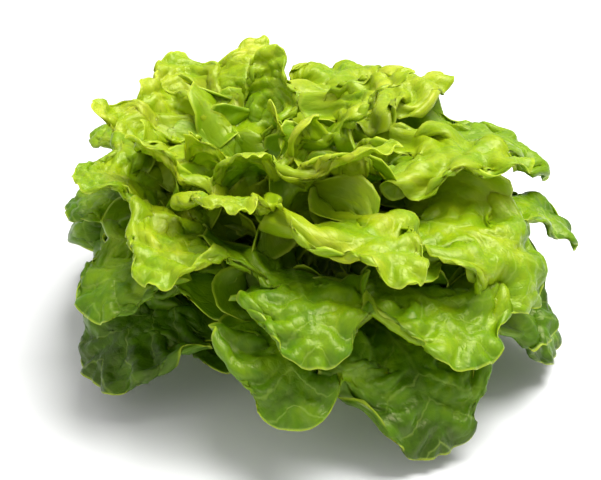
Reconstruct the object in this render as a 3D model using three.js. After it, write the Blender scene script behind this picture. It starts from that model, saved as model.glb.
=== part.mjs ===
// A head of green oak-leaf lettuce: a short stem, cut flat, that carries a spiral of lobed, wavy leaves.
// Millimetres, +Z up. The origin is the middle of the stem's cut face, and -Y is the front of the head.
//
// Every leaf follows a profile curve that leaves the stem, rises, and arches outwards like a fountain. The
// curves are ordered: at any distance from the stem, a younger leaf points further up than an older one, and
// it starts higher on the stem. So two curves never cross, and leaves that overlap in plan stay apart.
import * as THREE from "three";

// ---- Driving dimensions -------------------------------------------------------------------------------
const LEAF_COUNT = 52; // leaf 1 is the oldest and lowest, the last is the heart of the head
const LEAF_TURN = 137.5; // degrees from each leaf to the next, the angle at which leaves grow
const FIRST_TURN = 233; // degrees from +X to the oldest leaf

const STEM_RADIUS = 19; // at the thickest point
const STEM_CUT_RADIUS = 16; // of the flat cut face
const STEM_TOP_RADIUS = 5;
const STEM_HEIGHT = 52;
const LOWEST_LEAF = 10; // height of the oldest leaf's base on the stem

const OLD_LENGTH = 142; // from base to tip, along the leaf
const CROWN_LENGTH = 166; // of the leaves halfway up, which stand highest round the heart
const HEART_LENGTH = 40;
const OLD_WIDTH = 108; // across the widest lobes
const HEART_WIDTH = 34;
const STALK_HALF_ANGLE = 21; // degrees of the stem's round that half a leaf base covers

const OLD_RISE = 35; // degrees above the horizontal where the leaf leaves the stem
const HEART_RISE = 87;
const OLD_FALL = 120; // degrees that the leaf bends down by BEND_LENGTH from its base
const HEART_FALL = 16;
const BEND_LENGTH = 1.13 * OLD_LENGTH;
const BEND_POWER = 2; // above 1, the bend is gathered towards the tip
const WIDEST_WRAP = 0.48 * LEAF_TURN; // degrees that half a leaf can wrap round the head
const LEAN = 40; // how far the heart leans to its left (-X) at LEAN_HEIGHT above the ground
const LEAN_HEIGHT = 120;
const LEAN_REACH = 110; // distance from the axis by which most of the lean has faded
const LONGER_RIGHT = 0.08; // share by which leaves on the right are longer, and on the left shorter

const BLADE_THICKNESS = 1.4;
const RIB_STEPS = 3.6; // thickness of an old midrib's foot, in steps up the stem from leaf to leaf
const HEART_THICKNESS = 0.7; // of the youngest leaf, midrib and blade
const CLEARANCE = 0.4; // between a leaf's base and the stem
const LOBE_DEPTH = 0.3; // how far a notch between lobes cuts in, as a share of the half width
const OLD_WAVE = 0.14; // how far the margin waves to each side, as a share of the widest half width
const HEART_WAVE = 0.01;
const CUP = 0.05; // how far the margins stand above the midrib, as a share of the half width

// ---- How finely each leaf is divided ------------------------------------------------------------------
const ACROSS = 6; // cells from margin to margin, even, so that the midrib has a row of points
const ALONG = 8; // cells from base to tip: notches lie on even rows and lobes on odd ones
const PROFILE_STEPS = 60;

// ---- Leaves that differ from the run of the spiral, by number ------------------------------------------
// turn: degrees added to its place in the spiral; reach and spread: factors on its length and width.
const OWN_HABIT = {
  1: { turn: -17, reach: 1.1 },
  2: { turn: -29, spread: 0.8, reach: 0.97 },
  3: { reach: 1.05 },
  4: { turn: 11, spread: 0.9, reach: 1.04 },
  5: { reach: 1.05 },
  6: { reach: 0.86 },
  7: { turn: -6, spread: 0.95, reach: 0.88 },
  9: { turn: 15, spread: 0.75, reach: 0.97 },
  11: { reach: 0.96 },
  12: { reach: 0.93 },
  15: { turn: 5, reach: 0.92 },
  19: { reach: 0.93 },
};

const STEM_STEP = (STEM_HEIGHT - 2 - LOWEST_LEAF) / (LEAF_COUNT - 1); // up the stem, from leaf to leaf
const RIB_THICKNESS = RIB_STEPS * STEM_STEP;

const rad = THREE.MathUtils.degToRad;
const mix = THREE.MathUtils.lerp;
const between = (a, b, x) => THREE.MathUtils.clamp((x - a) / (b - a), 0, 1);

// A number from -1 to 1 that depends only on the leaf and the place on it.
function chance(leaf, place) {
  const x = Math.sin(leaf * 127.1 + place * 311.7) * 43758.5453;
  return 2 * (x - Math.floor(x)) - 1;
}

// Radius of the stem at a height.
function stemRadius(z) {
  const shoulder = STEM_HEIGHT * 0.25;
  if (z < shoulder) {
    return mix(STEM_CUT_RADIUS, STEM_RADIUS, Math.sin((Math.PI / 2) * (z / shoulder)));
  }
  const up = between(shoulder, STEM_HEIGHT, z);
  return mix(STEM_RADIUS, STEM_TOP_RADIUS, up ** 1.3);
}

// The profile curve of a leaf of the given youth (0 oldest, 1 heart), as points {r, z, slope} by distance
// along the leaf. slope is the direction of growth above the horizontal, in radians.
function profile(youth, length) {
  const baseZ = mix(LOWEST_LEAF, STEM_HEIGHT - 2, youth);
  const rise = mix(OLD_RISE, HEART_RISE, youth ** 0.8);
  const fall = mix(OLD_FALL, HEART_FALL, youth ** 1.3);
  const slopeAt = (s) => rad(rise - fall * (s / BEND_LENGTH) ** BEND_POWER);
  const step = length / PROFILE_STEPS;
  let r = stemRadius(baseZ) + CLEARANCE + RIB_THICKNESS / 2;
  let z = baseZ;
  const points = [{ r, z, slope: slopeAt(0) }];
  for (let n = 1; n <= PROFILE_STEPS; n++) {
    const middle = slopeAt((n - 0.5) * step);
    r += Math.cos(middle) * step;
    z += Math.sin(middle) * step;
    points.push({ r, z, slope: slopeAt(n * step) });
  }
  return (s) => {
    const at = THREE.MathUtils.clamp(s / step, 0, PROFILE_STEPS - 1e-6);
    const [a, b] = [points[Math.floor(at)], points[Math.floor(at) + 1]];
    const share = at - Math.floor(at);
    return { r: mix(a.r, b.r, share), z: mix(a.z, b.z, share), slope: mix(a.slope, b.slope, share) };
  };
}

// Half the blade's width at a share v of its length, before lobes, as a share of its widest half width.
function blade(v) {
  const swell = Math.sin((Math.PI / 2) * between(0.08, 0.66, v)) ** 1.5;
  const round = Math.sqrt(1 - (0.72 * between(0.66, 1, v)) ** 2);
  return swell * round;
}

// Length of a leaf by its youth, on the parabola through the three named lengths.
function usualLength(youth) {
  const bulge = CROWN_LENGTH - (OLD_LENGTH + HEART_LENGTH) / 2;
  return mix(OLD_LENGTH, HEART_LENGTH, youth) + 4 * bulge * youth * (1 - youth);
}

// Moves a point of the upright head to its place in the leaning one. The cut face stays where it is.
function lean(point) {
  const fade = Math.exp(-((Math.hypot(point.x, point.y) / LEAN_REACH) ** 2));
  point.x -= LEAN * (Math.max(0, point.z) / LEAN_HEIGHT) ** 2 * fade;
  return point;
}

// The middle surface of a leaf as rows of points, base to tip, each from margin to margin.
function leafSurface(number) {
  const youth = (number - 1) / (LEAF_COUNT - 1);
  const { turn = 0, reach = 1, spread = 1 } = OWN_HABIT[number] ?? {};
  const azimuth = rad(FIRST_TURN + LEAF_TURN * (number - 1) + turn);
  const balance = 1 + LONGER_RIGHT * Math.cos(azimuth);
  const length = usualLength(youth) * balance * reach * (1 + 0.04 * chance(number, 1));
  const halfWidth = (mix(OLD_WIDTH, HEART_WIDTH, youth) / 2) * spread * (1 + 0.08 * chance(number, 2));
  const curve = profile(youth, length);
  const base = curve(0);
  const stalk = base.r * rad(STALK_HALF_ANGLE);
  const rows = [];
  for (let j = 0; j <= ALONG; j++) {
    const v = j / ALONG;
    const row = [];
    for (let i = 0; i <= ACROSS; i++) {
      const u = (2 * i) / ACROSS - 1;
      const side = Math.sign(u);
      const out = Math.abs(u);
      const isNotch = j % 2 === 0 && j > 0 && j < ALONG;
      const lobe = (isNotch ? 1 - LOBE_DEPTH : 1) * (1 + 0.1 * chance(number, 10 * j + side));
      const half = Math.max(stalk * (1 - 0.2 * v), halfWidth * blade(v) * mix(1, lobe, out ** 2));
      const tipRound = 0.13 * out ** 2 * between(0.5, 1, v);
      const s = length * (v - tipRound);
      const { r, z, slope } = curve(s);
      const wrap = rad(WIDEST_WRAP);
      const sweep = wrap * Math.tanh((u * half) / (r * wrap));
      const turned = side * chance(number, 3) > 0 ? 1 : -1;
      const sway = turned * Math.sin((Math.PI / 2) * j) + 0.5 * chance(number, 200 + 10 * j + side);
      const wave = mix(OLD_WAVE, HEART_WAVE, youth) * halfWidth * sway * between(0.2, 0.8, v);
      const lift = (CUP * half + wave) * out ** 2;
      const rr = r - lift * Math.sin(slope);
      const zz = z + lift * Math.cos(slope);
      const angle = azimuth + sweep;
      row.push(lean(new THREE.Vector3(rr * Math.cos(angle), rr * Math.sin(angle), zz)));
    }
    rows.push(row);
  }
  return rows;
}

// Unit normals of a grid of points, from its neighbours.
function normals(rows) {
  const at = (j, i) => rows[THREE.MathUtils.clamp(j, 0, ALONG)][THREE.MathUtils.clamp(i, 0, ACROSS)];
  return rows.map((row, j) =>
    row.map((_, i) => {
      const across = at(j, i + 1).clone().sub(at(j, i - 1));
      const along = at(j + 1, i).clone().sub(at(j - 1, i));
      return across.cross(along).normalize();
    }),
  );
}

// A closed thin solid around a leaf's middle surface, thickest at the foot of its midrib.
function leafGeometry(number) {
  const youth = (number - 1) / (LEAF_COUNT - 1);
  const bladeThickness = mix(BLADE_THICKNESS, HEART_THICKNESS, youth);
  const ribThickness = mix(RIB_THICKNESS, HEART_THICKNESS, youth);
  const rows = leafSurface(number);
  const facing = normals(rows);
  const positions = [];
  const faces = [];
  const place = (j, i, below) => (j * (ACROSS + 1) + i) * 2 + (below ? 1 : 0);
  rows.forEach((row, j) =>
    row.forEach((point, i) => {
      const rib = (1 - Math.abs((2 * i) / ACROSS - 1)) ** 2 * (1 - j / ALONG);
      const half = mix(bladeThickness, ribThickness, rib) / 2;
      for (const way of [1, -1]) {
        const q = point.clone().addScaledVector(facing[j][i], way * half);
        positions.push(q.x, q.y, q.z);
      }
    }),
  );
  const quad = (a, b, c, d) => faces.push(a, b, c, a, c, d);
  for (let j = 0; j < ALONG; j++) {
    for (let i = 0; i < ACROSS; i++) {
      quad(place(j, i), place(j, i + 1), place(j + 1, i + 1), place(j + 1, i));
      quad(place(j + 1, i, 1), place(j + 1, i + 1, 1), place(j, i + 1, 1), place(j, i, 1));
    }
    quad(place(j, 0), place(j + 1, 0), place(j + 1, 0, 1), place(j, 0, 1));
    quad(place(j + 1, ACROSS), place(j, ACROSS), place(j, ACROSS, 1), place(j + 1, ACROSS, 1));
  }
  for (let i = 0; i < ACROSS; i++) {
    quad(place(0, i + 1), place(0, i), place(0, i, 1), place(0, i + 1, 1));
    quad(place(ALONG, i), place(ALONG, i + 1), place(ALONG, i + 1, 1), place(ALONG, i, 1));
  }
  const geometry = new THREE.BufferGeometry();
  geometry.setAttribute("position", new THREE.Float32BufferAttribute(positions, 3));
  geometry.setIndex(faces);
  geometry.computeVertexNormals();
  return geometry;
}

// The stem, turned from a profile that closes on the axis at the cut face and at the growing point.
function stemGeometry() {
  const outline = [new THREE.Vector2(0, 0)];
  const rings = 10;
  for (let n = 0; n <= rings; n++) {
    const z = (STEM_HEIGHT * n) / rings;
    outline.push(new THREE.Vector2(stemRadius(z), z));
  }
  outline.push(new THREE.Vector2(0, STEM_HEIGHT));
  const geometry = new THREE.LatheGeometry(outline, 20);
  geometry.rotateX(Math.PI / 2);
  const position = geometry.getAttribute("position");
  const point = new THREE.Vector3();
  for (let n = 0; n < position.count; n++) {
    lean(point.fromBufferAttribute(position, n));
    position.setXYZ(n, point.x, point.y, point.z);
  }
  return geometry;
}

const colours = {
  stem: 0xdfe6b4,
  outer: 0x5c8a14,
  middle: 0x86ad18,
  heart: 0xa9c52a,
};

function material(colour) {
  return new THREE.MeshStandardMaterial({ color: colour, roughness: 0.45, metalness: 0, side: THREE.DoubleSide });
}

const head = new THREE.Group();
const stem = new THREE.Mesh(stemGeometry(), material(colours.stem));
stem.name = "stem";
head.add(stem);

const OUTER_COUNT = Math.round(LEAF_COUNT * 0.35);
const MIDDLE_COUNT = Math.round(LEAF_COUNT * 0.37);
for (let number = 1; number <= LEAF_COUNT; number++) {
  const ring =
    number <= OUTER_COUNT ? "outer" : number <= OUTER_COUNT + MIDDLE_COUNT ? "middle" : "heart";
  const leaf = new THREE.Mesh(leafGeometry(number), material(colours[ring]));
  leaf.name = `${ring}_leaf_${String(number).padStart(2, "0")}`;
  head.add(leaf);
}

export default head;
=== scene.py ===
import math

import bpy
import numpy as np
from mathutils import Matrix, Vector


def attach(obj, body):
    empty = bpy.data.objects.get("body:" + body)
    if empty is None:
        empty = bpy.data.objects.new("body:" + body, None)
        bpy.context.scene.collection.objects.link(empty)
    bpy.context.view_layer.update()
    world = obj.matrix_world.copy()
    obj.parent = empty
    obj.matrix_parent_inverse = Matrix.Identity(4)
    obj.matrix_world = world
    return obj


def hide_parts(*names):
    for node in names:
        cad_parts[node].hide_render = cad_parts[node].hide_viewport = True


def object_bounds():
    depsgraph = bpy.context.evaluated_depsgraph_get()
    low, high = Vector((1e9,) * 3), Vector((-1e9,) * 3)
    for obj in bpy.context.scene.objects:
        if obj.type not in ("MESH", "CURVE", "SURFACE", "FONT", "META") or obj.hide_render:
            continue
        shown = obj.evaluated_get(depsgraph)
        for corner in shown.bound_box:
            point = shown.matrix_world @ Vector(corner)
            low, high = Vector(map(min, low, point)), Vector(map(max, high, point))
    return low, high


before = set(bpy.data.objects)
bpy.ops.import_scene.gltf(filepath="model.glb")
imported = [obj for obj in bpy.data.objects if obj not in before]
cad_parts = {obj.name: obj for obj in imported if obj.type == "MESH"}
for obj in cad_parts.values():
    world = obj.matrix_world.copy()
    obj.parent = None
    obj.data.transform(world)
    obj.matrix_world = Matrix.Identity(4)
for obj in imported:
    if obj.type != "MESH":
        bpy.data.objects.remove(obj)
cad_box = [list(corner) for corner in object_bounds()]
random = np.random.default_rng(7)

# ---- The leaves' sizes, as the CAD part has them, in millimetres and degrees ---------------------------
LEAF_COUNT = 52
OUTER_SHARE = 0.35
MIDDLE_SHARE = 0.37
LEAF_TURN = 137.5
FIRST_TURN = 233
STEM_RADIUS = 19
STEM_CUT_RADIUS = 16
STEM_TOP_RADIUS = 5
STEM_HEIGHT = 52
LOWEST_LEAF = 10
OLD_LENGTH = 142
CROWN_LENGTH = 166
HEART_LENGTH = 40
OLD_WIDTH = 108
HEART_WIDTH = 34
STALK_HALF_ANGLE = 21
OLD_RISE = 35
HEART_RISE = 87
OLD_FALL = 120
HEART_FALL = 16
BEND_LENGTH = 1.13 * OLD_LENGTH
BEND_POWER = 2
WIDEST_WRAP = 0.48 * LEAF_TURN
LEAN = 40
LEAN_HEIGHT = 120
LEAN_REACH = 110
LONGER_RIGHT = 0.08
RIB_THICKNESS = 3.6 * (STEM_HEIGHT - 2 - LOWEST_LEAF) / (LEAF_COUNT - 1)
CLEARANCE = 0.4
OLD_WAVE = 0.14
HEART_WAVE = 0.01
CUP = 0.05
CAD_ROWS = 8
OWN_HABIT = {
    1: {"turn": -17, "reach": 1.1},
    2: {"turn": -29, "spread": 0.8, "reach": 0.97},
    3: {"reach": 1.05},
    4: {"turn": 11, "spread": 0.9, "reach": 1.04},
    5: {"reach": 1.05},
    6: {"reach": 0.86},
    7: {"turn": -6, "spread": 0.95, "reach": 0.88},
    9: {"turn": 15, "spread": 0.75, "reach": 0.97},
    11: {"reach": 0.96},
    12: {"reach": 0.93},
    15: {"turn": 5, "reach": 0.92},
    19: {"reach": 0.93},
}

# Chances: how far a leaf's own size may differ from the usual, as a share.
LENGTH_CHANCE = 0.04
WIDTH_CHANCE = 0.08

# ---- What the looks add: a leaf's outline and folds, in millimetres or as shares ------------------------
ROWS, COLS = 57, 27  # points along and across each leaf while it grows
STALK_END = 0.08  # where along the leaf its blade begins
WIDEST_AT = 0.66  # and where it is widest
END_NARROWING = 0.62  # how far the blade narrows from there to its end
CORNERS_BACK = (0.07, 0.13)  # how far the end's corners are drawn back along the leaf, which rounds the end
SINUS_ROWS = (8, 16, 24, 32, 41)  # rows of points where the outline cuts in between two lobes
SINUS_DEPTH = (0.42, 0.52, 0.57, 0.6, 0.55)  # how far it cuts in, as a share of the half width
SINUS_CHANCE = 0.3  # how much a cut's depth may differ, as a share
FOOT_DEPTH, END_DEPTH = 0.1, 0.34  # the same at the first lobe's foot and at the leaf's end
END_LOBE_CUT = 0.8  # how much of the last cut is kept, on every leaf
SINUS_POWER = 0.45  # how evenly the points across a leaf crowd together at a cut
LOBE_SIZE = (1.0, 1.1, 1.16, 1.18, 1.1, 1.02)  # how far each lobe reaches out, base to tip
LOBE_CHANCE = 0.1  # how much that may differ, as a share
ROUNDNESS = 2.4  # the power that shapes a lobe's outline, where 2 is a circle
LOBE_SEEDS = (600, 700, 800, 1000, 1100)  # where a lobe's own chances are read
# Leaves that are less lobed and folded, and by what factor.
FLAT = {4: 0.2, 1: 0.6, 9: 0.7, 12: 0.75, 17: 0.7, 22: 0.7, 31: 0.5}
# Leaves with a tip of a given curl, as a share of TIP_CURL.
OWN_CURL = {20: -1.5, 4: 0.3, 31: -1.2}
# Leaves with a broader end, and by what factor.
BROAD_TIP = {4: 1.1, 22: 1.05, 17: 1.05, 9: 1.05}
SCALLOP = 0.06  # how deep a lobe's edge is scalloped, as a share of its reach
FAN = 0.95  # how far a lobe spreads over its neighbours, as a share of its half length
FOLD = 21.0  # how far a lobe of an old leaf stands above or below its blade
END_FOLD = 0.35  # how much of that the lobe at the end keeps
TWIST = 12.0  # how far a lobe's near edge stands above its far edge
HOLLOW = 8.0  # how far a lobe's edges stand above its middle
TIP_CURL = 10.0
SLIDE_CHANCE = 0.035  # how far the two sides of a leaf differ along it
RIPPLES = ((34, 3.0), (19, 1.6))  # wavelength and height of the ripples that the growth starts from

# ---- How the leaves grow ------------------------------------------------------------------------------
MARGIN_DEPTH = 11  # how far in from its edge a leaf's margin reaches
AREA_GROWTH = 0.16  # how much the blade grows in every direction away from the midrib
OLD_GROWTH = 0.28  # how much longer still an old leaf's margin grows
YOUNG_GROWTH = 0.9  # and a young one's, which is curlier
STEPS = 80
PULLS = 3  # times in each step that points are pulled to the lengths of their links
PULL_SHARE = 1.6  # how far a pull goes: above 1 it overshoots, so the leaf settles sooner
MOMENTUM = 0.8  # share of its last move that a point makes again
SAG = 0.05  # how far a free point sinks in each step
FREE_HOLD, RIB_HOLD, FOOT_HOLD = 0.02, 0.35, 0.6  # how firmly a point stays on the leaf's own curve
APART = 1.5  # distance that two leaves keep
BESIDE = 3.2  # how far sideways a point still meets another leaf's
MOST_PUSH = 1.2  # furthest that a point is pushed off another leaf at once
REACH = 5.0  # how far off neighbours are looked for
STEPS_PER_SEARCH = 6  # steps between two searches for points that are near each other
LAST_PUSHES = 3  # times that the leaves are pushed apart at the end
GROUND_GAP = 1.2  # lowest that a point goes
STEM_GAP = 1.0  # nearest that a point comes to the stem
LIMIT_BEYOND = 3  # how far past the CAD model's box the leaves may spread
LIMIT_ABOVE = 5  # and how far above it
LIMIT_POWER = 4  # the power that shapes that limit in plan, where 2 is an ellipse

# ---- The blade's surface ------------------------------------------------------------------------------
BLISTER = 1.5  # how high the blade puffs up between its veins
BLISTER_SUNK = 0.9  # how much of that the whole blade is sunk by
BIG_CELL, SMALL_CELL, BROAD_CELL = (8, 9.5), (4.2, 4.8), (17, 19)  # blisters' widths and lengths
BLADE = 0.7  # thickness of an old leaf's blade
YOUNG_BLADE = 0.55
OLD_RIB, YOUNG_RIB = 3.2, 1.0  # thickness that the midrib adds at a leaf's foot


def mix(a, b, t):
    return a + (b - a) * t


def between(a, b, x):
    return np.clip((x - a) / (b - a), 0, 1)


def chance(leaf, place):
    x = np.sin(leaf * 127.1 + place * 311.7) * 43758.5453
    return 2 * (x - np.floor(x)) - 1


def stem_radius(z):
    shoulder = STEM_HEIGHT * 0.25
    low = mix(STEM_CUT_RADIUS, STEM_RADIUS, np.sin(math.pi / 2 * between(0, shoulder, z)))
    high = mix(STEM_RADIUS, STEM_TOP_RADIUS, between(shoulder, STEM_HEIGHT, z) ** 1.3)
    return np.where(z < shoulder, low, high)


def lean(points):
    fade = np.exp(-((np.hypot(points[..., 0], points[..., 1]) / LEAN_REACH) ** 2))
    points[..., 0] -= LEAN * (np.maximum(0, points[..., 2]) / LEAN_HEIGHT) ** 2 * fade
    return points


def through(knots, x):
    """A smooth curve through evenly spaced knots, read at x from 0 to 1."""
    at = np.clip(x, 0, 1) * (len(knots) - 1)
    i = np.minimum(at.astype(int), len(knots) - 2)
    t = at - i
    k = np.asarray(knots, float)
    p0, p1, p2, p3 = k[np.maximum(i - 1, 0)], k[i], k[i + 1], k[np.minimum(i + 2, len(k) - 1)]
    return p1 + 0.5 * t * (p2 - p0 + t * (2 * p0 - 5 * p1 + 4 * p2 - p3 + t * (3 * (p1 - p2) + p3 - p0)))


def profile(youth, length):
    """The leaf's curve in the plane through the stem's axis: r, z and slope by distance along it."""
    base_z = mix(LOWEST_LEAF, STEM_HEIGHT - 2, youth)
    rise = mix(OLD_RISE, HEART_RISE, youth**0.8)
    fall = mix(OLD_FALL, HEART_FALL, youth**1.3)
    s = np.linspace(0, length, 241)
    middle = (s[1:] + s[:-1]) / 2
    slope = np.radians(rise - fall * (middle / BEND_LENGTH) ** BEND_POWER)
    step = s[1]
    start = stem_radius(base_z) + CLEARANCE + RIB_THICKNESS / 2
    r = start + np.concatenate([[0], np.cumsum(np.cos(slope) * step)])
    z = base_z + np.concatenate([[0], np.cumsum(np.sin(slope) * step)])
    slopes = np.radians(rise - fall * (s / BEND_LENGTH) ** BEND_POWER)
    return lambda x: (np.interp(x, s, r), np.interp(x, s, z), np.interp(x, s, slopes))


def lobes(number, side, v, out):
    """One side's lobes: the blade's width kept at each point, and how far it is folded and fanned."""
    ends = [0.0] + [row / (ROWS - 1) for row in SINUS_ROWS] + [1.0]
    cuts = [
        d * (1 + SINUS_CHANCE * chance(number, 500 + 10 * k + side)) for k, d in enumerate(SINUS_DEPTH)
    ]
    between_lobes = [d * FLAT.get(number, 1) for d in cuts[:-1]]
    depths = [FOOT_DEPTH] + between_lobes + [END_LOBE_CUT * cuts[-1], END_DEPTH]
    width = np.ones_like(v)
    fold = np.zeros_like(v)
    fan = np.zeros_like(v)
    first = 1 if side * chance(number, 3) > 0 else -1
    for k, (a, b) in enumerate(zip(ends[:-1], ends[1:])):
        own = [chance(number, place + 10 * k + side) for place in LOBE_SEEDS]
        last = k == len(SINUS_ROWS)
        here = (v >= a) & (v <= b)
        x = np.clip(2 * (v - a) / (b - a) - 1, -1, 1)
        arc = np.sqrt(1 - np.abs(x) ** ROUNDNESS)
        if last:
            arc = np.where(x > 0, np.sqrt(1 - 0.5 * np.abs(x) ** ROUNDNESS), arc)
        size = LOBE_SIZE[k] * (1 + LOBE_CHANCE * own[0]) * (BROAD_TIP.get(number, 1) if last else 1)
        scallop = 1 - SCALLOP * (1 - np.abs(np.sin(math.pi * (x + own[4]))))
        bottom = 1 - mix(depths[k], depths[k + 1], (x + 1) / 2)
        edge = bottom + (size * scallop - bottom) * arc
        kept = mix(1, edge, out**SINUS_POWER)
        far = np.clip((out * kept - bottom) / (size - bottom), 0, 1)
        high = FOLD * first * (-1) ** k * (0.35 + 0.65 * abs(own[1])) * (END_FOLD if last else 1)
        bent = far**1.3 * (high + TWIST * own[2] * x + HOLLOW * own[3] * x**2)
        width = np.where(here, kept, width)
        fold = np.where(here, bent, fold)
        fan = np.where(here & (not last), FAN * x * far * (b - a) / 2, fan)
    return width, fold, fan


def leaf_shape(number):
    """The leaf before its margins grow: points (rows, columns, 3), and each point's place on it."""
    youth = (number - 1) / (LEAF_COUNT - 1)
    habit = OWN_HABIT.get(number, {})
    azimuth = math.radians(FIRST_TURN + LEAF_TURN * (number - 1) + habit.get("turn", 0))
    balance = 1 + LONGER_RIGHT * math.cos(azimuth)
    bulge = CROWN_LENGTH - (OLD_LENGTH + HEART_LENGTH) / 2
    usual = mix(OLD_LENGTH, HEART_LENGTH, youth) + 4 * bulge * youth * (1 - youth)
    length = usual * balance * habit.get("reach", 1) * (1 + LENGTH_CHANCE * chance(number, 1))
    half_width = mix(OLD_WIDTH, HEART_WIDTH, youth) / 2 * habit.get("spread", 1)
    half_width = half_width * (1 + WIDTH_CHANCE * chance(number, 2))
    curve = profile(youth, length)
    stalk = curve(0.0)[0] * math.radians(STALK_HALF_ANGLE)
    v = np.linspace(0, 1, ROWS)[:, None] * np.ones((1, COLS))
    u = np.linspace(-1, 1, COLS)[None, :] * np.ones((ROWS, 1))
    out = np.abs(u)
    swell = np.sin(math.pi / 2 * between(STALK_END, WIDEST_AT, v)) ** 1.5
    blade = swell * np.sqrt(1 - (END_NARROWING * between(WIDEST_AT, 1, v)) ** 2)
    width = np.ones_like(v)
    fold = np.zeros_like(v)
    sway = np.zeros_like(v)
    slide = np.zeros_like(v)
    for side in (-1, 1):
        here = np.sign(u) == side
        turned = 1 if side * chance(number, 3) > 0 else -1
        turns = [
            turned * math.sin(math.pi / 2 * j) + 0.5 * chance(number, 200 + 10 * j + side)
            for j in range(CAD_ROWS + 1)
        ]
        own_width, own_fold, own_fan = lobes(number, side, v, out)
        width = np.where(here, own_width, width)
        fold = np.where(here, own_fold, fold)
        sway = np.where(here, through(turns, v), sway)
        slides = [0] + [SLIDE_CHANCE * chance(number, 900 + 10 * k + side) for k in range(5)] + [0]
        slide = np.where(here, through(slides, v) * out + own_fan, slide)
    half = np.maximum(stalk * (1 - 0.2 * v), half_width * blade * width)
    near, far = CORNERS_BACK
    tip = (near * between(0.4, 0.75, v) + far * between(0.7, 1, v) ** 1.5) * out**2.2
    r, z, slope = curve(length * (v + slide - tip))
    wrap = math.radians(WIDEST_WRAP)
    sweep = wrap * np.tanh(u * half / (r * wrap))
    fold_size = 0.3 + 0.7 * half_width / (OLD_WIDTH / 2)
    wave = 0.5 * mix(OLD_WAVE, HEART_WAVE, youth) * half_width * sway * between(0.2, 0.8, v)
    curl = TIP_CURL * OWN_CURL.get(number, chance(number, 11)) * between(0.72, 1, v) ** 2
    folded = fold * FLAT.get(number, 1) * between(0.15, 0.4, v)
    lift = (CUP * half + wave) * out**2 + (folded + curl) * fold_size
    rr = r - lift * np.sin(slope)
    zz = z + lift * np.cos(slope)
    angle = azimuth + sweep
    points = lean(np.stack([rr * np.cos(angle), rr * np.sin(angle), zz], -1))
    inside = np.minimum(half * (1 - out), length * (1 - v))
    place = np.stack([u * half, v * length, np.full_like(v, number * 37.0)], -1)
    return points, inside, place


def unit(a):
    return a / np.maximum(np.linalg.norm(a, axis=-1, keepdims=True), 1e-9)


def facing(points):
    """Unit normals of the upper side of every leaf; points is (leaves, rows, columns, 3)."""
    across = np.empty_like(points)
    across[:, :, 1:-1] = points[:, :, 2:] - points[:, :, :-2]
    across[:, :, 0] = points[:, :, 1] - points[:, :, 0]
    across[:, :, -1] = points[:, :, -1] - points[:, :, -2]
    along = np.empty_like(points)
    along[:, 1:-1] = points[:, 2:] - points[:, :-2]
    along[:, 0] = points[:, 1] - points[:, 0]
    along[:, -1] = points[:, -1] - points[:, -2]
    return unit(np.cross(across, along))


def near_pairs(points, reach):
    """Every pair of points no further apart than reach, as two index arrays."""
    cells = np.floor((points - points.min(0)) / reach).astype(np.int64) + 1
    wide = int(cells.max()) + 3
    key = (cells[:, 0] * wide + cells[:, 1]) * wide + cells[:, 2]
    order = np.argsort(key, kind="stable")
    ranked = key[order]
    firsts, seconds = [], []
    for dx in (-1, 0, 1):
        for dy in (-1, 0, 1):
            for dz in (-1, 0, 1):
                shift = (dx * wide + dy) * wide + dz
                if shift < 0:
                    continue
                low = np.searchsorted(ranked, key + shift, "left")
                high = np.searchsorted(ranked, key + shift, "right")
                count = high - low
                a = np.repeat(np.arange(len(points)), count)
                begin = np.repeat(low - np.concatenate([[0], np.cumsum(count)[:-1]]), count)
                b = order[begin + np.arange(len(a))]
                keep = (a < b) if shift == 0 else np.ones(len(a), bool)
                a, b = a[keep], b[keep]
                close = np.einsum("ij,ij->i", points[a] - points[b], points[a] - points[b]) < reach * reach
                firsts.append(a[close])
                seconds.append(b[close])
    return np.concatenate(firsts), np.concatenate(seconds)


shapes = [leaf_shape(n) for n in range(1, LEAF_COUNT + 1)]
smooth = np.stack([s[0] for s in shapes])
inside = np.stack([s[1] for s in shapes])
place = np.stack([s[2] for s in shapes])
youth_of = np.linspace(0, 1, LEAF_COUNT)[:, None, None]

# Margins grow longer than the blade behind them, so they have to ruffle.
margin = np.exp(-inside / MARGIN_DEPTH)
from_rib = between(4, 16, np.abs(place[..., 0])) * between(10, 40, place[..., 1])
area_growth = 1 + AREA_GROWTH * from_rib
margin_growth = mix(OLD_GROWTH, YOUNG_GROWTH, between(0.2, 0.6, youth_of))
growth = area_growth + margin_growth * margin * between(10, 45, place[..., 1])
# Which points are linked, as steps along and across a leaf, and how stiffly.
LINKS = (
    (1, 0, 1.0),
    (0, 1, 1.0),
    (1, 1, 0.45),
    (1, -1, 0.45),
    (2, 0, 0.3),
    (0, 2, 0.3),
    (4, 0, 0.1),
    (0, 4, 0.1),
)
links = []
for dj, di, stiff in LINKS:
    rows_a, rows_b = slice(0, ROWS - dj), slice(dj, ROWS)
    if di >= 0:
        cols_a, cols_b = slice(0, COLS - di), slice(di, COLS)
    else:
        cols_a, cols_b = slice(-di, COLS), slice(0, COLS + di)
    gap = smooth[:, rows_b, cols_b] - smooth[:, rows_a, cols_a]
    kind = area_growth if dj == 0 else growth
    factor = (kind[:, rows_b, cols_b] + kind[:, rows_a, cols_a]) / 2
    rest = np.linalg.norm(gap, axis=-1) * factor
    links.append((rows_a, rows_b, cols_a, cols_b, rest, stiff))

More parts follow.
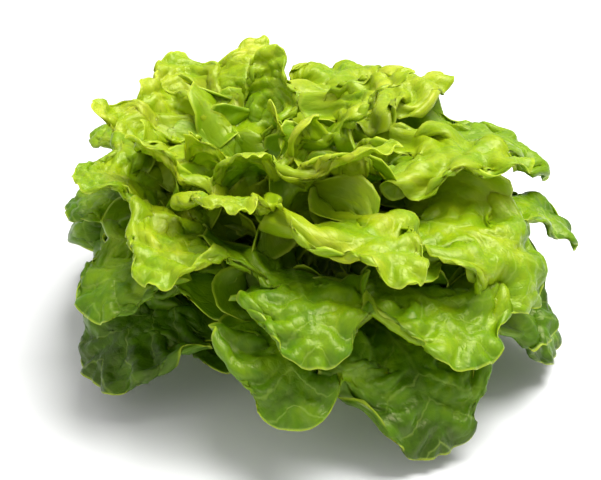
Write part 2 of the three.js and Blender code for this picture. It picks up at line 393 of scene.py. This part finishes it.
normals = facing(smooth)
s_mm = place[..., 1]
ripples = np.zeros_like(s_mm)
for n in range(LEAF_COUNT):
    scale = mix(1.0, 0.6, n / (LEAF_COUNT - 1))
    for wavelength, height in RIPPLES:
        for side in (-1, 1):
            where = np.sign(place[n, ..., 0]) == side
            phase = random.uniform(0, 2 * math.pi)
            stretch = random.uniform(0.85, 1.2)
            run = (s_mm[n] + 0.5 * np.abs(place[n, ..., 0])) / (wavelength * stretch * scale)
            ripples[n] += np.where(where, np.sin(2 * math.pi * run + phase) * height * scale, 0)
points = smooth + normals * (ripples * margin * between(15, 50, s_mm))[..., None]

leaf_index = np.repeat(np.arange(LEAF_COUNT), ROWS * COLS)
rib_hold = RIB_HOLD * np.exp(-np.abs(place[..., 0]) / 5) * (1 - 0.6 * place[..., 1] / 150)
hold = FREE_HOLD + rib_hold + FOOT_HOLD * np.exp(-s_mm / 12)
hold = np.clip(hold, 0, 1)[..., None]
low_corner, high_corner = (np.array(corner) * 1000 for corner in cad_box)
middle_xy = (low_corner + high_corner)[:2] / 2
reach_xy = (high_corner - low_corner)[:2] / 2 + LIMIT_BEYOND
highest = high_corner[2] + LIMIT_ABOVE


def pull_links(points):
    """Moves linked points towards the length that their link has grown to."""
    shift = np.zeros_like(points)
    weight = np.zeros(points.shape[:3] + (1,))
    for rows_a, rows_b, cols_a, cols_b, rest, stiff in links:
        a = points[:, rows_a, cols_a]
        b = points[:, rows_b, cols_b]
        gap = b - a
        size = np.maximum(np.linalg.norm(gap, axis=-1), 1e-6)
        move = gap * (0.5 * stiff * (size - rest) / size)[..., None]
        shift[:, rows_a, cols_a] += move
        shift[:, rows_b, cols_b] -= move
        weight[:, rows_a, cols_a] += stiff
        weight[:, rows_b, cols_b] += stiff
    return points + PULL_SHARE * shift / weight


def separate(points, pairs):
    """Pushes leaves that touch apart, the younger one always to the upper side of the older one."""
    flat = points.reshape(-1, 3)
    face = facing(points).reshape(-1, 3)
    old, young = pairs
    gap = flat[young] - flat[old]
    shift = np.zeros_like(flat)
    count = np.zeros(len(flat))
    for side in (old, young):
        height = np.einsum("ij,ij->i", gap, face[side])
        beside = np.linalg.norm(gap - height[:, None] * face[side], axis=1)
        hit = (height < APART) & (beside < BESIDE)
        push = face[side][hit] * (APART - height[hit])[:, None] * 0.5
        for axis in range(3):
            shift[:, axis] += np.bincount(young[hit], push[:, axis], len(flat))
            shift[:, axis] -= np.bincount(old[hit], push[:, axis], len(flat))
        for end in (young, old):
            count += np.bincount(end[hit], minlength=len(flat))
    shift /= np.maximum(count, 1)[:, None]
    return (flat + np.clip(shift, -MOST_PUSH, MOST_PUSH)).reshape(points.shape)


def keep_in(points):
    """Keeps the leaves inside their limit, above the ground and outside the stem."""
    out_xy = (points[..., :2] - middle_xy) / reach_xy
    beyond = (out_xy**LIMIT_POWER).sum(-1, keepdims=True) ** (1 / LIMIT_POWER)
    points[..., :2] = middle_xy + (points[..., :2] - middle_xy) / np.maximum(beyond, 1)
    points[..., 2] = np.clip(points[..., 2], GROUND_GAP, highest)
    axis_x = -LEAN * (np.maximum(0, points[..., 2]) / LEAN_HEIGHT) ** 2
    dx, dy = points[..., 0] - axis_x, points[..., 1]
    r = np.hypot(dx, dy)
    least = np.where(points[..., 2] < STEM_HEIGHT, stem_radius(points[..., 2]) + STEM_GAP, 0)
    grow = np.maximum(least / np.maximum(r, 1e-6), 1)
    points[..., 0] = axis_x + dx * grow
    points[..., 1] = dy * grow
    return points


def grow(points):
    """Lets the leaves bend until they fit their grown lengths and each other."""
    before = points.copy()
    for step in range(STEPS):
        moved = points + MOMENTUM * (points - before)
        before = points
        points = moved
        for _ in range(PULLS):
            points = pull_links(points)
        points = points + hold * (smooth - points)
        points[..., 2] -= SAG * (1 - hold[..., 0])
        if step % STEPS_PER_SEARCH == 0:
            a, b = near_pairs(points.reshape(-1, 3), REACH)
            other = leaf_index[a] != leaf_index[b]
            a, b = a[other], b[other]
            pairs = (np.minimum(a, b), np.maximum(a, b))
        points = separate(points, pairs)
        points = keep_in(points)
    for _ in range(LAST_PUSHES):
        points = keep_in(separate(points, pairs))
    return points


points = grow(points)


def finer(a, axis):
    """Twice as many intervals along an axis, on a smooth curve through the points there are."""
    a = np.moveaxis(a, axis, 0)
    before = np.concatenate([2 * a[:1] - a[1:2], a[:-2]])
    after = np.concatenate([a[2:], 2 * a[-1:] - a[-2:-1]])
    middle = (9 * (a[:-1] + a[1:]) - before - after) / 16
    result = np.empty((2 * len(a) - 1,) + a.shape[1:])
    result[::2] = a
    result[1::2] = middle
    return np.moveaxis(result, 0, axis)


fine = finer(finer(points, 1), 2)
fine_inside = np.maximum(finer(finer(inside, 1), 2), 0)
fine_place = finer(finer(place, 1), 2)


def pillows(x, y, seed):
    """Cells of an uneven grid: 0 on their borders, rising to 1 inside, and each cell's own size."""
    column, row = np.floor(x), np.floor(y)
    first = np.full_like(x, 9.0)
    second = np.full_like(x, 9.0)
    own = np.zeros_like(x)
    for dx in (-1, 0, 1):
        for dy in (-1, 0, 1):
            i, j = column + dx, row + dy
            cx = i + 0.5 + 0.42 * chance(i * 1.37 + seed, j * 2.11 + seed * 0.61)
            cy = j + 0.5 + 0.42 * chance(i * 2.73 + seed, j * 1.19 + seed * 0.83)
            d = np.hypot(x - cx, y - cy)
            closer = d < first
            second = np.where(closer, first, np.minimum(second, d))
            own = np.where(closer, chance(i * 3.1 + seed, j * 4.7 + seed), own)
            first = np.where(closer, d, first)
    border = between(0, 0.7, second - first)
    return border * (2 - border), 0.5 + 0.5 * own


face = facing(fine)
x, y = fine_place[..., 0], fine_place[..., 1]
seeds = np.arange(LEAF_COUNT)[:, None, None] * 3.7 + np.zeros_like(x)
big, big_size = pillows(x / BIG_CELL[0], y / BIG_CELL[1], seeds)
small, small_size = pillows(x / SMALL_CELL[0], y / SMALL_CELL[1], seeds + 50)
broad, broad_size = pillows(x / BROAD_CELL[0], y / BROAD_CELL[1], seeds + 90)
blister = BLISTER * (big * (0.3 + 0.7 * big_size) + 0.5 * small * small_size + 1.2 * broad * broad_size)
blister_share = between(1, 9, fine_inside) * between(15, 50, y) * (1 - 0.25 * youth_of)
fine = fine + face * ((blister - BLISTER_SUNK * BLISTER) * blister_share)[..., None]
face = facing(fine)
# Blister relief, which the leaf material also paints into the colour as painted light and shade: tops
# lighter, creases darker.
pillow = (0.7 * big + 0.3 * small) * blister_share

FINE_ROWS, FINE_COLS = fine.shape[1:3]
sheet = FINE_ROWS * FINE_COLS
index = np.arange(sheet).reshape(FINE_ROWS, FINE_COLS)
top_faces = np.stack([index[:-1, :-1], index[:-1, 1:], index[1:, 1:], index[1:, :-1]], -1).reshape(-1, 4)
rim = np.concatenate([index[0, :], index[1:, -1], index[-1, -2::-1], index[-2:0:-1, 0]])
following = np.roll(rim, -1)
rim_faces = np.stack([following, rim, rim + sheet, following + sheet], -1)
all_faces = np.concatenate([top_faces, top_faces[:, ::-1] + sheet, rim_faces])


def leaf_mesh(n):
    """A leaf as a closed thin solid, with what its material needs to know at each point."""
    youth = n / (LEAF_COUNT - 1)
    x, y = fine_place[n, ..., 0], fine_place[n, ..., 1]
    along = y / y.max()
    rib_width = 1.6 + 3.2 * (1 - along)
    rib = (mix(OLD_RIB, YOUNG_RIB, youth) * (1 - along) ** 0.8) * np.exp(-((x / rib_width) ** 2))
    thick = mix(BLADE, YOUNG_BLADE, youth) * between(-1.5, 1.5, fine_inside[n]) + rib
    top = fine[n] + face[n] * (0.35 * rib - 0.25)[..., None]
    bottom = top - face[n] * thick[..., None]
    verts = np.concatenate([top.reshape(-1, 3), bottom.reshape(-1, 3)]) / 1000
    name = leaf_names[n]
    mesh = bpy.data.meshes.new("leaf_" + name)
    mesh.vertices.add(len(verts))
    mesh.vertices.foreach_set("co", verts.astype(np.float32).ravel())
    mesh.loops.add(all_faces.size)
    mesh.loops.foreach_set("vertex_index", all_faces.astype(np.int32).ravel())
    mesh.polygons.add(len(all_faces))
    mesh.polygons.foreach_set("loop_start", np.arange(0, all_faces.size, 4, dtype=np.int32))
    mesh.update(calc_edges=True)
    mesh.polygons.foreach_set("use_smooth", np.ones(len(all_faces), bool))
    for key, kind, values in (
        ("place", "FLOAT_VECTOR", np.tile(fine_place[n].reshape(-1, 3), (2, 1))),
        ("inside", "FLOAT", np.tile(fine_inside[n].ravel(), 2)),
        ("along", "FLOAT", np.tile(along.ravel(), 2)),
        ("pillow", "FLOAT", np.tile(pillow[n].ravel(), 2)),
        # Each point's height as a share, which the leaf material uses for age and for painted shade low
        # down.
        ("high", "FLOAT", verts[:, 2] / (cad_box[1][2] - cad_box[0][2])),
    ):
        attribute = mesh.attributes.new(key, kind, "POINT")
        field = "vector" if kind == "FLOAT_VECTOR" else "value"
        attribute.data.foreach_set(field, values.astype(np.float32).ravel())
    piece = bpy.data.objects.new("leaf_" + name, mesh)
    bpy.context.scene.collection.objects.link(piece)
    return piece


def ring_of(number):
    outer = round(LEAF_COUNT * OUTER_SHARE)
    middle = round(LEAF_COUNT * MIDDLE_SHARE)
    return "outer" if number <= outer else "middle" if number <= outer + middle else "heart"


leaf_names = [f"{ring_of(n)}_leaf_{n:02d}" for n in range(1, LEAF_COUNT + 1)]


# ---- Materials ----------------------------------------------------------------------------------------
class Nodes:
    """A short way to write a material's nodes."""

    def __init__(self, name):
        self.material = bpy.data.materials.new(name)
        self.material.use_nodes = True
        self.tree = self.material.node_tree
        self.shader = self.tree.nodes["Principled BSDF"]

    def add(self, kind, inputs=None, **settings):
        node = self.tree.nodes.new(kind)
        for key, value in settings.items():
            setattr(node, key, value)
        for key, value in (inputs or {}).items():
            socket = node.inputs[key]
            if isinstance(value, bpy.types.NodeSocket):
                self.tree.links.new(value, socket)
            else:
                socket.default_value = value
        return node

    def math(self, operation, a, b=0.5, clamp=False):
        return self.add("ShaderNodeMath", {0: a, 1: b}, operation=operation, use_clamp=clamp).outputs[0]

    def ramp(self, low, high, x, to_low=0.0, to_high=1.0):
        return self.add(
            "ShaderNodeMapRange",
            {"Value": x, "From Min": low, "From Max": high, "To Min": to_low, "To Max": to_high},
            interpolation_type="SMOOTHSTEP",
        ).outputs[0]

    def noise(self, vector, scale, detail):
        inputs = {"Vector": vector, "Scale": scale, "Detail": detail, "Roughness": 0.57}
        return self.add("ShaderNodeTexNoise", inputs).outputs["Fac"]

    def stretched(self, vector, scale):
        node = self.add("ShaderNodeVectorMath", {0: vector, 1: scale}, operation="MULTIPLY")
        return node.outputs["Vector"]

    def colours(self, x, stops):
        node = self.add("ShaderNodeValToRGB", {"Fac": x})
        ends = node.color_ramp.elements
        while len(ends) < len(stops):
            ends.new(0.5)
        for end, (position, colour) in zip(ends, stops):
            end.position = position
        for end, (position, colour) in zip(ends, stops):
            end.color = (*colour, 1)
        return node.outputs["Color"]

    def blend(self, factor, a, b):
        node = self.add("ShaderNodeMix", data_type="RGBA")
        for socket, value in ((node.inputs[0], factor), (node.inputs[6], a), (node.inputs[7], b)):
            if isinstance(value, bpy.types.NodeSocket):
                self.tree.links.new(value, socket)
            else:
                socket.default_value = value
        return node.outputs[2]


# From the shaded old leaves at the foot of the head to the lit young ones on top.
GREENS = (
    (0.05, (0.030, 0.079, 0.0008)),
    (0.3, (0.083, 0.193, 0.0012)),
    (0.55, (0.19, 0.322, 0.002)),
    (0.8, (0.30, 0.39, 0.005)),
    (1.0, (0.46, 0.50, 0.035)),
)
FLECK = (0.05, 0.15, 0.002, 1)
VEIN = (0.50, 0.64, 0.12, 1)
STALK = (0.62, 0.74, 0.30, 1)
MARGIN = (0.50, 0.62, 0.05, 1)
STEM_SKIN = ((0.52, 0.62, 0.26, 1), (0.74, 0.78, 0.48, 1))
STEM_PITH = ((0.66, 0.68, 0.42, 1), (0.80, 0.80, 0.58, 1))
STEM_VESSELS = (0.42, 0.46, 0.16, 1)
STEM_RIM = (0.36, 0.20, 0.07, 1)


def leaf_material(number):
    youth = (number - 1) / (LEAF_COUNT - 1)
    n = Nodes(f"leaf_{number:02d}")
    vector = n.add("ShaderNodeAttribute", attribute_name="place").outputs["Vector"]
    inside_mm = n.add("ShaderNodeAttribute", attribute_name="inside").outputs["Fac"]
    along = n.add("ShaderNodeAttribute", attribute_name="along").outputs["Fac"]
    puff = n.add("ShaderNodeAttribute", attribute_name="pillow").outputs["Fac"]
    high = n.add("ShaderNodeAttribute", attribute_name="high").outputs["Fac"]
    split = n.add("ShaderNodeSeparateXYZ", {0: vector})
    across_mm = n.math("ABSOLUTE", split.outputs[0])
    along_mm = split.outputs[1]
    clouds = n.noise(vector, 0.045, 3.0)
    grain = n.noise(vector, 0.5, 4.0)
    cells = n.add("ShaderNodeTexVoronoi", {"Vector": vector, "Scale": 0.34}, feature="DISTANCE_TO_EDGE")
    cell = n.ramp(0.0, 0.2, cells.outputs["Distance"])

    # Side veins run out and forward from the midrib to the lobes.
    slant = n.math("SUBTRACT", along_mm, n.math("MULTIPLY", across_mm, 0.9))
    wander = n.math("MULTIPLY", n.math("SUBTRACT", clouds, 0.5), 22.0)
    phase = n.math("PINGPONG", n.math("ADD", slant, wander), mix(9.0, 6.0, youth))
    side_vein = n.math("MULTIPLY", n.ramp(1.1, 0.1, phase), n.ramp(45.0, 8.0, across_mm))
    rib = n.ramp(3.0, 0.8, n.math("MULTIPLY", across_mm, n.ramp(0.0, 0.8, along, 0.45, 2.0)))
    rib = n.math("MULTIPLY", rib, n.ramp(0.9, 0.3, along))
    vein = n.math("MAXIMUM", rib, n.math("MULTIPLY", side_vein, 0.4))

    # Low leaves are old and dark, and high ones are young and yellow. The darkening by height is partly
    # that age and partly painted shade, for the shade under the upper leaves' overhang.
    light = n.math("MULTIPLY", n.math("SUBTRACT", clouds, 0.5), 0.95)
    # Painted shade and age: the lower a point, the darker its green.
    light = n.math("ADD", light, n.math("MULTIPLY", high, 0.72))
    light = n.math("ADD", light, 0.1 * youth + 0.1 * chance(number, 900))
    # Painted light and shade on the blisters: their tops lighter and the creases between them darker.
    light = n.math("ADD", light, n.math("MULTIPLY", puff, 0.14))
    colour = n.colours(light, GREENS)
    colour = n.blend(n.math("MULTIPLY", n.ramp(0.4, 0.75, grain), 0.16), colour, FLECK)
    colour = n.blend(n.math("MULTIPLY", vein, 0.45), colour, VEIN)
    stalk = n.math("MULTIPLY", n.ramp(0.28, 0.02, along), 0.8)
    colour = n.blend(stalk, colour, STALK)
    margin = n.math("MULTIPLY", n.ramp(1.4, 0.1, inside_mm), 0.55)
    colour = n.blend(margin, colour, MARGIN)

    height = n.math("ADD", n.math("MULTIPLY", cell, 0.15), n.math("MULTIPLY", grain, 0.4))
    height = n.math("SUBTRACT", height, n.math("MULTIPLY", side_vein, 0.25))
    bump = n.add("ShaderNodeBump", {"Height": height, "Strength": 0.6, "Distance": 0.0008})
    shader = n.shader
    n.tree.links.new(colour, shader.inputs["Base Color"])
    n.tree.links.new(bump.outputs[0], shader.inputs["Normal"])
    n.tree.links.new(n.ramp(0.3, 0.7, grain, 0.30, 0.44), shader.inputs["Roughness"])
    shader.inputs["Subsurface Weight"].default_value = 0.5
    shader.inputs["Subsurface Radius"].default_value = (0.9, 1.0, 0.08)
    shader.inputs["Subsurface Scale"].default_value = 0.002
    shader.inputs["Specular IOR Level"].default_value = 0.42
    shader.inputs["Specular Tint"].default_value = (1.0, 0.95, 0.5, 1)
    return n.material


def stem_mesh():
    """The stem: a cut face, a ribbed side with the scars of the lowest leaves, and a rounded top."""
    around, cut_rings, side_rings = 96, 20, 70
    rings = [(STEM_CUT_RADIUS * q, 0.5 * (1 - q * q)) for q in np.linspace(0, 1, cut_rings)[1:]]
    rings += [(float(stem_radius(np.float64(z))), z) for z in np.linspace(0, STEM_HEIGHT, side_rings)[1:]]
    rings += [(STEM_TOP_RADIUS * math.cos(a), STEM_HEIGHT + 0.4 * math.sin(a)) for a in (0.5, 1.0, 1.4)]
    angle = np.linspace(0, 2 * math.pi, around, endpoint=False)
    points = []
    for radius, z in rings:
        ribs = 0.22 * np.sin(13 * angle + 0.05 * z) + 0.12 * np.sin(31 * angle - 0.11 * z)
        scars = 0.18 * np.sin(2 * math.pi * (z / 2.6 + angle / (2 * math.pi) * 5))
        rough = (ribs + scars) * between(0.5, 4, z)
        r = radius + rough * between(0.4, 1, radius / STEM_TOP_RADIUS)
        points.append(np.stack([r * np.cos(angle), r * np.sin(angle), np.full(around, float(z))], -1))
    points = lean(np.concatenate(points))
    ends = lean(np.array([[0, 0, 0.5], [0, 0, STEM_HEIGHT + 0.45]]))
    verts = np.concatenate([points, ends])
    faces = []
    for k in range(len(rings) - 1):
        for i in range(around):
            a, b = k * around + i, k * around + (i + 1) % around
            faces.append((a, b, b + around, a + around))
    last = (len(rings) - 1) * around
    for i in range(around):
        after = (i + 1) % around
        faces.append((len(points), after, i))
        faces.append((len(points) + 1, last + i, last + after))
    mesh = bpy.data.meshes.new("stem_core")
    mesh.from_pydata((verts / 1000).tolist(), [], faces)
    mesh.polygons.foreach_set("use_smooth", np.ones(len(faces), bool))
    where = mesh.attributes.new("place", "FLOAT_VECTOR", "POINT")
    where.data.foreach_set("vector", verts.astype(np.float32).ravel())
    piece = bpy.data.objects.new("stem_core", mesh)
    bpy.context.scene.collection.objects.link(piece)
    return piece


def stem_material():
    n = Nodes("stem_flesh")
    vector = n.add("ShaderNodeAttribute", attribute_name="place").outputs["Vector"]
    split = n.add("ShaderNodeSeparateXYZ", {0: vector})
    across = n.math("POWER", split.outputs[0], 2.0)
    across = n.math("SQRT", n.math("ADD", across, n.math("POWER", split.outputs[1], 2.0)))
    grain = n.noise(vector, 0.35, 5.0)
    fibres = n.noise(n.stretched(vector, (1.4, 1.4, 0.12)), 0.9, 3.0)
    side = n.ramp(0.2, 1.2, split.outputs[2])
    skin = n.blend(n.ramp(0.35, 0.65, fibres), *STEM_SKIN)
    pith = n.blend(n.ramp(0.35, 0.65, grain), *STEM_PITH)
    wobble = n.math("ADD", across, n.math("MULTIPLY", grain, 1.6))
    ring = n.math("MULTIPLY", n.ramp(9.5, 11.2, wobble), n.ramp(14.2, 12.4, wobble))
    pith = n.blend(n.math("MULTIPLY", ring, 0.6), pith, STEM_VESSELS)
    pith = n.blend(n.math("MULTIPLY", n.ramp(14.5, 16.4, wobble), 0.5), pith, STEM_RIM)
    colour = n.blend(side, pith, skin)
    height = n.math("ADD", n.math("MULTIPLY", fibres, 0.6), n.math("MULTIPLY", grain, 0.4))
    bump = n.add("ShaderNodeBump", {"Height": height, "Strength": 0.5, "Distance": 0.0006})
    n.tree.links.new(colour, n.shader.inputs["Base Color"])
    n.tree.links.new(bump.outputs[0], n.shader.inputs["Normal"])
    n.tree.links.new(n.ramp(0.3, 0.7, grain, 0.42, 0.58), n.shader.inputs["Roughness"])
    n.shader.inputs["Subsurface Weight"].default_value = 0.3
    n.shader.inputs["Subsurface Radius"].default_value = (1.0, 0.8, 0.3)
    n.shader.inputs["Subsurface Scale"].default_value = 0.003
    return n.material


stem = stem_mesh()
stem.data.materials.append(stem_material())
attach(stem, "root")
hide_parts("stem")

for n in range(LEAF_COUNT):
    piece = leaf_mesh(n)
    piece.data.materials.append(leaf_material(n + 1))
    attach(piece, "root")
    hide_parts(leaf_names[n])

# ---- Floor, light and camera --------------------------------------------------------------------------
bpy.ops.mesh.primitive_plane_add(size=6, location=(0, 0, 0))
floor = bpy.context.object
floor.name = "floor"
paper = Nodes("paper")
paper_noise = paper.add("ShaderNodeTexNoise", {"Scale": 400.0, "Detail": 2.0}).outputs["Fac"]
paper.tree.links.new(paper.ramp(0.3, 0.7, paper_noise, 0.86, 0.9), paper.shader.inputs["Roughness"])
paper.shader.inputs["Base Color"].default_value = (0.93, 0.93, 0.93, 1)
paper.shader.inputs["Specular IOR Level"].default_value = 0.2
floor.data.materials.append(paper.material)

world = bpy.data.worlds.new("studio")
bpy.context.scene.world = world
world.use_nodes = True
sky = world.node_tree.nodes["Background"]
sky.inputs["Color"].default_value = (1, 1, 1, 1)
sky.inputs["Strength"].default_value = 0.55

LIGHTS_AIM = Vector((0, 0, 0.08))


def area_light(name, location, size, power):
    lamp = bpy.data.lights.new(name, "AREA")
    lamp.size = size
    lamp.energy = power
    holder = bpy.data.objects.new(name, lamp)
    bpy.context.scene.collection.objects.link(holder)
    holder.location = location
    holder.rotation_euler = (LIGHTS_AIM - Vector(location)).to_track_quat("-Z", "Y").to_euler()


area_light("key", (0.35, 0.05, 1.3), 0.9, 28)
area_light("fill", (-0.9, -1.1, 0.8), 1.0, 3)

AIM = Vector((-0.0026, 0, 0.062))
ELEVATION = math.radians(28)
DISTANCE = 0.9
IMAGE_WIDTH = 601
FOCAL_PIXELS = 1530
SENSOR_WIDTH = 36
camera_data = bpy.data.cameras.new("camera")
camera = bpy.data.objects.new("camera", camera_data)
bpy.context.scene.collection.objects.link(camera)
camera.location = AIM + DISTANCE * Vector((0, -math.cos(ELEVATION), math.sin(ELEVATION)))
camera.rotation_euler = (AIM - camera.location).to_track_quat("-Z", "Y").to_euler()
camera_data.sensor_width = SENSOR_WIDTH
camera_data.lens = SENSOR_WIDTH * FOCAL_PIXELS / IMAGE_WIDTH
bpy.context.scene.camera = camera
bpy.context.scene.view_settings.view_transform = "Standard"
